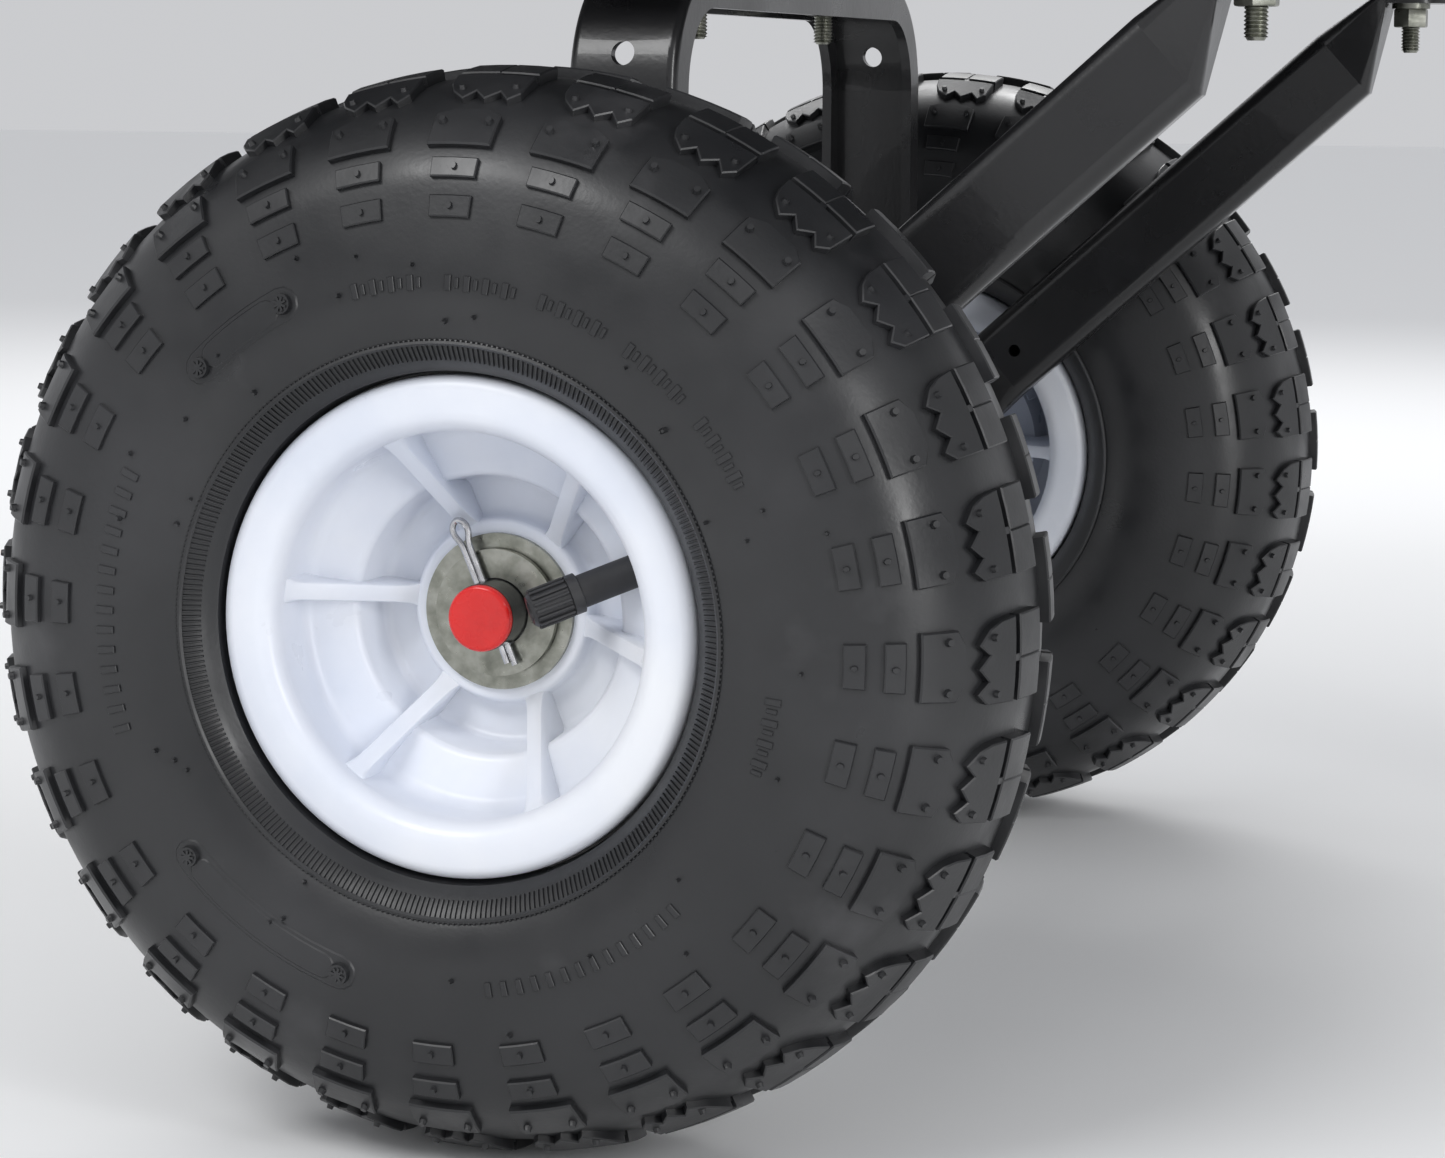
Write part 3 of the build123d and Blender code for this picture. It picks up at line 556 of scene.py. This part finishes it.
def tyre():
    bm = bmesh.new()
    carcass(bm)
    for sign in (1, -1):
        step = bmesh.new()
        tread_step(step)
        wrap(step, sign, -1.0 if sign > 0 else -1.0 + STEP / 2)
        bmesh.ops.spin(step, geom=[*step.verts, *step.edges, *step.faces], cent=(0, 0, 0), axis=(0, 1, 0),
                       dvec=(0, 0, 0), angle=2 * math.pi * (STEPS - 1) / STEPS, steps=STEPS - 1,
                       use_merge=False, use_duplicate=True)
        add(bm, step)
    ring = [(46.2, 67.4), (47.2, 67.0), (47.4, 66.4), (46.9, 65.9), (45.9, 66.2)]
    spun(bm, ring, TYRE_ROUND)
    spun(bm, [(-v, r) for v, r in ring], TYRE_ROUND)
    add(bm, serrations())
    sidewall_marks(bm)
    return bm


for side in SIDES:
    made = tyre()
    to_cart(made, side)
    piece = finish(f"{side}_tyre_with_tread", made, f"{side}_wheel", rubber, sharp=28)
    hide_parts(f"{side}_tyre")

# %% [markdown]
# ## Rim
# The rim is one white moulding: two rolled lips, a barrel, a web in two steps and a long hub, with six
# ribs on each face. The turned part comes from an outline whose corners are rounded by a vertex bevel; the
# ribs are raised plates that grow thicker where they run into the barrel and the hub.

# %% Rim
def softened(points, rounds):
    """Round corners of a closed outline of (v, r) points; rounds gives a radius for a corner's number."""
    flat = bmesh.new()
    verts = [flat.verts.new((r, v, 0)) for v, r in points]
    flat.faces.new(verts)
    for number, radius in rounds.items():
        bmesh.ops.bevel(flat, geom=[verts[number]], offset=radius, segments=5, profile=0.5,
                        affect="VERTICES", material=-1)
    flat.faces.ensure_lookup_table()
    outline = [(v.co.y, v.co.x) for v in flat.faces[0].verts]
    flat.free()
    return outline


RIM = [(40.8, 45.0), (40.8, 58.6), (33.5, 58.6), (33.5, 50.8), (-33.5, 50.8), (-33.5, 58.6), (-40.8, 58.6),
       (-40.8, 45.0), (-33.0, 45.6), (17.0, 45.6), (13.0, 33.3), (-1.0, 32.3), (-1.0, 22.0), (-46.0, 22.0),
       (-46.0, 17.6), (-37.4, 17.6), (-37.4, 12.5), (1.0, 12.5), (1.0, 17.6), (9.6, 17.6), (9.6, 22.0),
       (4.0, 22.6), (4.0, 32.3), (18.0, 33.3), (22.0, 45.6), (33.0, 45.6)]
RIM_ROUNDS = {0: 5.5, 1: 3.2, 6: 3.2, 7: 5.5, 20: 1.4, 19: 0.6, 21: 1.8, 22: 2.2, 23: 1.6, 24: 3.0,
              25: 3.0, 13: 1.2, 9: 2.5, 12: 2.0}
RIBS = 6
FIRST_RIB = -7.0
RIB_THICK = 3.8
RIB_OUT, RIB_IN = 45.9, 20.9


def rim_rib(degrees, outboard):
    """One rib, built flat as x = radius, y = v, z = thickness, then turned to its angle."""
    if outboard:
        outline = [(RIB_OUT, 34.8), (RIB_IN, 8.9), (RIB_IN, 2.5), (33.0, 2.5), (34.0, 16.0), (RIB_OUT, 20.0)]
    else:
        outline = [(RIB_OUT, -34.8), (33.0, -27.0), (20.8, -38.0), (20.8, 0.0), (33.0, 0.0), (34.0, 14.0),
                   (RIB_OUT, 18.0)]
    bm = bmesh.new()
    face = bm.faces.new([bm.verts.new((r, v, -RIB_THICK / 2)) for r, v in outline])
    grown = bmesh.ops.extrude_face_region(bm, geom=[face])["geom"]
    top = [g for g in grown if isinstance(g, bmesh.types.BMVert)]
    bmesh.ops.translate(bm, vec=(0, 0, RIB_THICK), verts=top)
    bmesh.ops.recalc_face_normals(bm, faces=bm.faces)
    bmesh.ops.bevel(bm, geom=bm.edges[:], offset=0.8, segments=2, profile=0.5, affect="EDGES", material=-1)
    for r in (21.6, 22.4, 23.6, 26, 42.5, 44.2, 45.0):
        bmesh.ops.bisect_plane(bm, geom=[*bm.verts, *bm.edges, *bm.faces], dist=1e-4, plane_co=(r, 0, 0),
                               plane_no=(1, 0, 0))
    for vert in bm.verts:
        r = vert.co.x
        vert.co.z *= 1.12 + 0.9 * math.exp((r - RIB_OUT) / 1.1) + 0.7 * math.exp((RIB_IN - r) / 1.3)
    bmesh.ops.rotate(bm, verts=bm.verts, matrix=Matrix.Rotation(-math.radians(degrees), 3, "Y"))
    return bm


def rim():
    bm = bmesh.new()
    spun(bm, softened(RIM, RIM_ROUNDS), 120)
    for k in range(RIBS):
        add(bm, rim_rib(FIRST_RIB + k * 360 / RIBS, True))
        add(bm, rim_rib(FIRST_RIB + (k + 0.5) * 360 / RIBS, False))
    return bm


# %% [markdown]
# ## Valve cap and split pin
# The valve stem comes with the inner tube. Its plastic cap is fluted for the fingers: a turned core with
# sixteen small bars round it. The real split pin is half-round wire bent on itself. Here it is drawn as a
# curve with a round bevel and turned into a mesh, because the flat faces lie together and don't show.

# %% Valve cap and split pin
VALVE_FOOT = polar(52.8, 20, 14)
VALVE_TIP = polar(17.1, 14, 34)
FLUTES = 16


def turned(bm, outline, steps=32):
    """Spin a closed outline of (r, z) points about z."""
    verts = [bm.verts.new((r, 0, z)) for r, z in outline]
    edges = [bm.edges.new(pair) for pair in zip(verts, verts[1:])]
    bmesh.ops.spin(bm, geom=verts + edges, cent=(0, 0, 0), axis=(0, 0, 1), dvec=(0, 0, 0),
                   angle=2 * math.pi, steps=steps, use_merge=True, use_duplicate=False)
    bmesh.ops.remove_doubles(bm, verts=bm.verts, dist=1e-4)
    bmesh.ops.recalc_face_normals(bm, faces=bm.faces)


def aim(bm, tip, axis):
    """Carry a piece made about z, its end at the origin, to a tip with z along axis."""
    turn = Vector(axis).to_track_quat("Z", "Y").to_matrix().to_4x4()
    bmesh.ops.transform(bm, matrix=Matrix.Translation(tip) @ turn, verts=bm.verts)


def valve_cap():
    bm = bmesh.new()
    turned(bm, [(0, -0.7), (2.4, -0.7), (2.5, -0.1), (3.4, 0), (4.15, -0.7), (4.25, -9.6), (4.75, -9.9),
                (4.75, -12.3), (4.4, -12.5), (0, -12.5)])
    bar = bmesh.new()
    place = Matrix.Translation((4.35, 0, -5.3)) @ Matrix.Diagonal((1, 0.8, 8.8, 1))
    bmesh.ops.create_cube(bar, size=1, matrix=place)
    bmesh.ops.bevel(bar, geom=bar.edges[:], offset=0.22, segments=1, profile=0.5, affect="EDGES", material=-1)
    bmesh.ops.spin(bar, geom=[*bar.verts, *bar.edges, *bar.faces], cent=(0, 0, 0), axis=(0, 0, 1),
                   dvec=(0, 0, 0), angle=2 * math.pi * (FLUTES - 1) / FLUTES, steps=FLUTES - 1,
                   use_merge=False, use_duplicate=True)
    add(bm, bar)
    aim(bm, VALVE_TIP, VALVE_TIP - VALVE_FOOT)
    return bm


def wire(points, radius, resolution=6):
    """A bmesh of round wire along a smooth line through control points."""
    curve = bpy.data.curves.new("wire", "CURVE")
    curve.dimensions = "3D"
    curve.bevel_depth = radius
    curve.bevel_resolution = 3
    curve.use_fill_caps = True
    spline = curve.splines.new("NURBS")
    spline.points.add(len(points) - 1)
    for point, place in zip(spline.points, points):
        point.co = (*place, 1)
    spline.order_u = 3
    spline.use_endpoint_u = True
    spline.resolution_u = resolution
    holder = bpy.data.objects.new("wire", curve)
    bpy.context.scene.collection.objects.link(holder)
    bpy.context.view_layer.update()
    mesh = bpy.data.meshes.new_from_object(holder.evaluated_get(bpy.context.evaluated_depsgraph_get()))
    bpy.data.objects.remove(holder)
    bpy.data.curves.remove(curve)
    bm = bmesh.new()
    bm.from_mesh(mesh)
    bpy.data.meshes.remove(mesh)
    bmesh.ops.remove_doubles(bm, verts=bm.verts, dist=1e-4)
    return bm


PIN_ANGLE, PIN_OUT = 113, 15.2


def split_pin():
    """Made along z, with its eye's middle at the origin, then laid across the axle."""
    eye, tail = polar(21.4, PIN_ANGLE, PIN_OUT), polar(-13.2, PIN_ANGLE, PIN_OUT)
    length = (eye - tail).length
    half = [(0.8, -length + 6), (0.78, -5.5), (0.95, -3.2), (1.9, -1.2), (1.9, 1.1)]
    path = [(0.8, 0, -length), *((x, 0, z) for x, z in half), (0, 0, 2.6),
            *((-x, 0, z) for x, z in reversed(half)), (-0.95, 0, -length + 1.0)]
    bm = wire(path, 0.79)
    turn = Matrix.Rotation(-math.radians(PIN_ANGLE - 90), 4, "Y")
    bmesh.ops.transform(bm, matrix=Matrix.Translation(eye) @ turn, verts=bm.verts)
    return bm


for side in SIDES:
    wheel, rim_nodes = f"{side}_wheel", [f"{side}_rim", f"{side}_rim_centre"]
    rows = [("rim_moulding", rim(), wheel, rim_nodes, white, "white_plastic", True),
            ("fluted_cap", valve_cap(), wheel, [f"{side}_valve_cap"], plain_black, "black_plastic", True),
            ("wire_pin", split_pin(), "cart", [f"{side}_split_pin"], bearing, "zinc_steel", False)]
    for name, made, body, nodes, one, slot, turns in rows:
        to_cart(made, side, turns)
        piece = finish(f"{side}_{name}", made, body, one)
        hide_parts(*nodes)

# %% [markdown]
# ## Fasteners
# Carriage bolts hold the frame: a low dome above, a thread below. A thread this small needs no helix: a
# zigzag outline, spun, catches the light in the same way. Nuts are hexagons with chamfered corners.

# %% Bolts and nuts of the frame
def bolt(place, seat, end, radius=2.95, head=7.0, high=3.2, pitch=1.0):
    """Carriage bolt at (x, y) with its head on a seat and its threaded end below, all in millimetres."""
    bm = bmesh.new()
    outline = [(0, seat + high), (head * 0.45, seat + high * 0.9), (head * 0.8, seat + high * 0.55),
               (head, seat + 0.6), (head * 0.98, seat), (radius, seat)]
    z = seat - 3
    while z > end + 1.2:
        outline += [(radius, z), (radius - 0.5, z - pitch * 0.45), (radius, z - pitch * 0.9)]
        z -= pitch
    outline += [(radius - 0.3, end + 0.9), (radius - 0.9, end), (0, end)]
    turned(bm, outline, 20)
    bmesh.ops.translate(bm, vec=(*place, 0), verts=bm.verts)
    return bm


def hex_nut(place, top, flats=10.0, high=6.0):
    """Nut at (x, y) whose upper face is at top, with chamfered corners; the bolt passes through it."""
    bm = bmesh.new()
    corner = flats / math.sqrt(3)
    bmesh.ops.create_cone(bm, cap_ends=True, segments=6, radius1=corner, radius2=corner, depth=high,
                          matrix=Matrix.Translation((0, 0, top - high / 2)))
    corners = [e for e in bm.edges if abs(e.verts[0].co.z - e.verts[1].co.z) < 0.01]
    bmesh.ops.bevel(bm, geom=corners, offset=0.55, segments=2, profile=0.5, affect="EDGES", material=-1)
    for face in [f for f in bm.faces if abs(abs(f.normal.z) - 1) < 1e-3 and f.calc_area() > flats * 2]:
        bmesh.ops.inset_individual(bm, faces=[face], thickness=0.9, depth=0)
    bmesh.ops.translate(bm, vec=(*place, 0), verts=bm.verts)
    return bm


MIDDLE_X = -178
BOLT_SEAT, WASHER = 302.5, 1.6
# x, y, lower end of the bolt and underside of what it clamps
FRAME_BOLTS = [(-4 + MIDDLE_X, 63.6, 268.0, 284.5), (166 + MIDDLE_X, 154.4, 266.8, 282.5)]
bolts, nuts = bmesh.new(), bmesh.new()
for x, y, end, under in FRAME_BOLTS:
    for sign in (1, -1):
        add(bolts, bolt((x, sign * y), BOLT_SEAT, end))
        add(nuts, hex_nut((x, sign * y), under - WASHER))
for bm, name, node, slot in ((bolts, "threaded_bolts", "frame_bolts", "zinc_steel"),
                             (nuts, "chamfered_nuts", "frame_nuts", "zinc_steel")):
    bmesh.ops.scale(bm, vec=(MM, MM, MM), verts=bm.verts)
    piece = finish(name, bm, "cart", zinc)
    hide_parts(node)

# %% [markdown]
# ## Tub
# A moulded tub is one thin skin with no sharp edge anywhere: it leans outwards, turns over at the top in a
# hollow rim and stands on a flat floor. Rounded rectangles, one for each height where the skin turns, are
# bridged loop by loop. Shallow ribs stiffen the walls below the rim.

# %% Tub
tub_low, tub_high = (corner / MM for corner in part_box("tub"))
TUB_FLOOR, TUB_MOUTH, TUB_CORNER = (600.0, 360.0), (720.0, 500.0), 30.0
TUB_TALL = tub_high.z - tub_low.z
WALL = 4.0
TUB_RIB_WIDE, TUB_RIB_DEEP, TUB_RIB_ROUND, TUB_RIB_CLEAR = 16, 5, 2.2, 26.0


def tub_level(inset, above):
    """Length, width and corner of the tub at a height above its floor, pulled in by inset."""
    share = above / TUB_TALL
    sizes = [a + (b - a) * share - 2 * inset for a, b in zip(TUB_FLOOR, TUB_MOUTH)]
    return *sizes, TUB_CORNER - inset


def tub_loop(bm, inset, above):
    """One rounded rectangle; returns its edges."""
    length, wide, corner = tub_level(inset, above)
    middle = (tub_low + tub_high) / 2
    verts = [bm.verts.new((middle.x + sx * length / 2, sy * wide / 2, tub_low.z + above))
             for sx, sy in ((1, 1), (-1, 1), (-1, -1), (1, -1))]
    bm.faces.new(verts)
    made = bmesh.ops.bevel(bm, geom=verts, offset=corner * 0.999, segments=9, profile=0.5, affect="VERTICES",
                           material=-1)
    face = next(f for f in bm.faces if len(f.verts) > 8 and all(v in set(made["verts"]) for v in f.verts))
    edges = list(face.edges)
    bmesh.ops.delete(bm, geom=[face], context="FACES_ONLY")
    return edges


def tub_ribs(bm):
    """Shallow upright ribs on the four walls, leaning with them."""
    middle = (tub_low + tub_high) / 2
    tall = TUB_TALL - 2 * TUB_RIB_CLEAR
    for axis, count, span in ((1, 6, 470.0), (0, 4, 270.0)):
        lean = math.atan2((TUB_MOUTH[axis] - TUB_FLOOR[axis]) / 2, TUB_TALL)
        reach = (TUB_FLOOR[axis] + TUB_MOUTH[axis]) / 4
        for sign in (1, -1):
            for k in range(count):
                along = -span / 2 + span * k / (count - 1)
                rib = bmesh.new()
                size = Matrix.Diagonal((TUB_RIB_WIDE, TUB_RIB_DEEP, tall / math.cos(lean), 1))
                bmesh.ops.create_cube(rib, size=1, matrix=size)
                bmesh.ops.bevel(rib, geom=rib.edges[:], offset=TUB_RIB_ROUND, segments=3, profile=0.5,
                                affect="EDGES", material=-1)
                bmesh.ops.transform(rib, matrix=Matrix.Rotation(-lean, 4, "X"), verts=rib.verts)
                bmesh.ops.translate(rib, vec=(along, reach + 0.3, 0), verts=rib.verts)
                turn = {(1, 1): 0, (1, -1): 180, (0, 1): -90, (0, -1): 90}[(axis, sign)]
                bmesh.ops.rotate(rib, matrix=Matrix.Rotation(math.radians(turn), 3, "Z"), verts=rib.verts)
                bmesh.ops.translate(rib, vec=middle, verts=rib.verts)
                add(bm, rib)


def tub():
    bm = bmesh.new()
    top = TUB_TALL
    skin = [(7, 0), (3.2, 0.7), (0.9, 2.6), (0, 6), (0, top - 22), (0, top - 6), (-1.5, top - 4),
            (-9.4, top - 4), (-10, top - 6), (-10, top - 17), (-11, top - 18), (-13, top - 18),
            (-14, top - 17), (-14, top - 5), (-13, top - 2), (-10.5, top - 0.2), (-8, top), (0, top),
            (2.4, top - 0.6), (3.7, top - 2.2), (WALL, top - 5), (WALL, WALL + 9), (WALL + 1.4, WALL + 4),
            (WALL + 4.5, WALL + 1), (WALL + 9, WALL)]
    loops = [tub_loop(bm, inset, above) for inset, above in skin]
    for one, other in zip(loops, loops[1:]):
        bmesh.ops.bridge_loops(bm, edges=one + other)
    for loop in (loops[0], loops[-1]):
        bmesh.ops.contextual_create(bm, geom=loop)
    bmesh.ops.recalc_face_normals(bm, faces=bm.faces)
    tub_ribs(bm)
    bmesh.ops.scale(bm, vec=(MM, MM, MM), verts=bm.verts)
    return bm


piece = finish("ribbed_tub", tub(), "cart", tub_black, sharp=40)
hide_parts("tub")
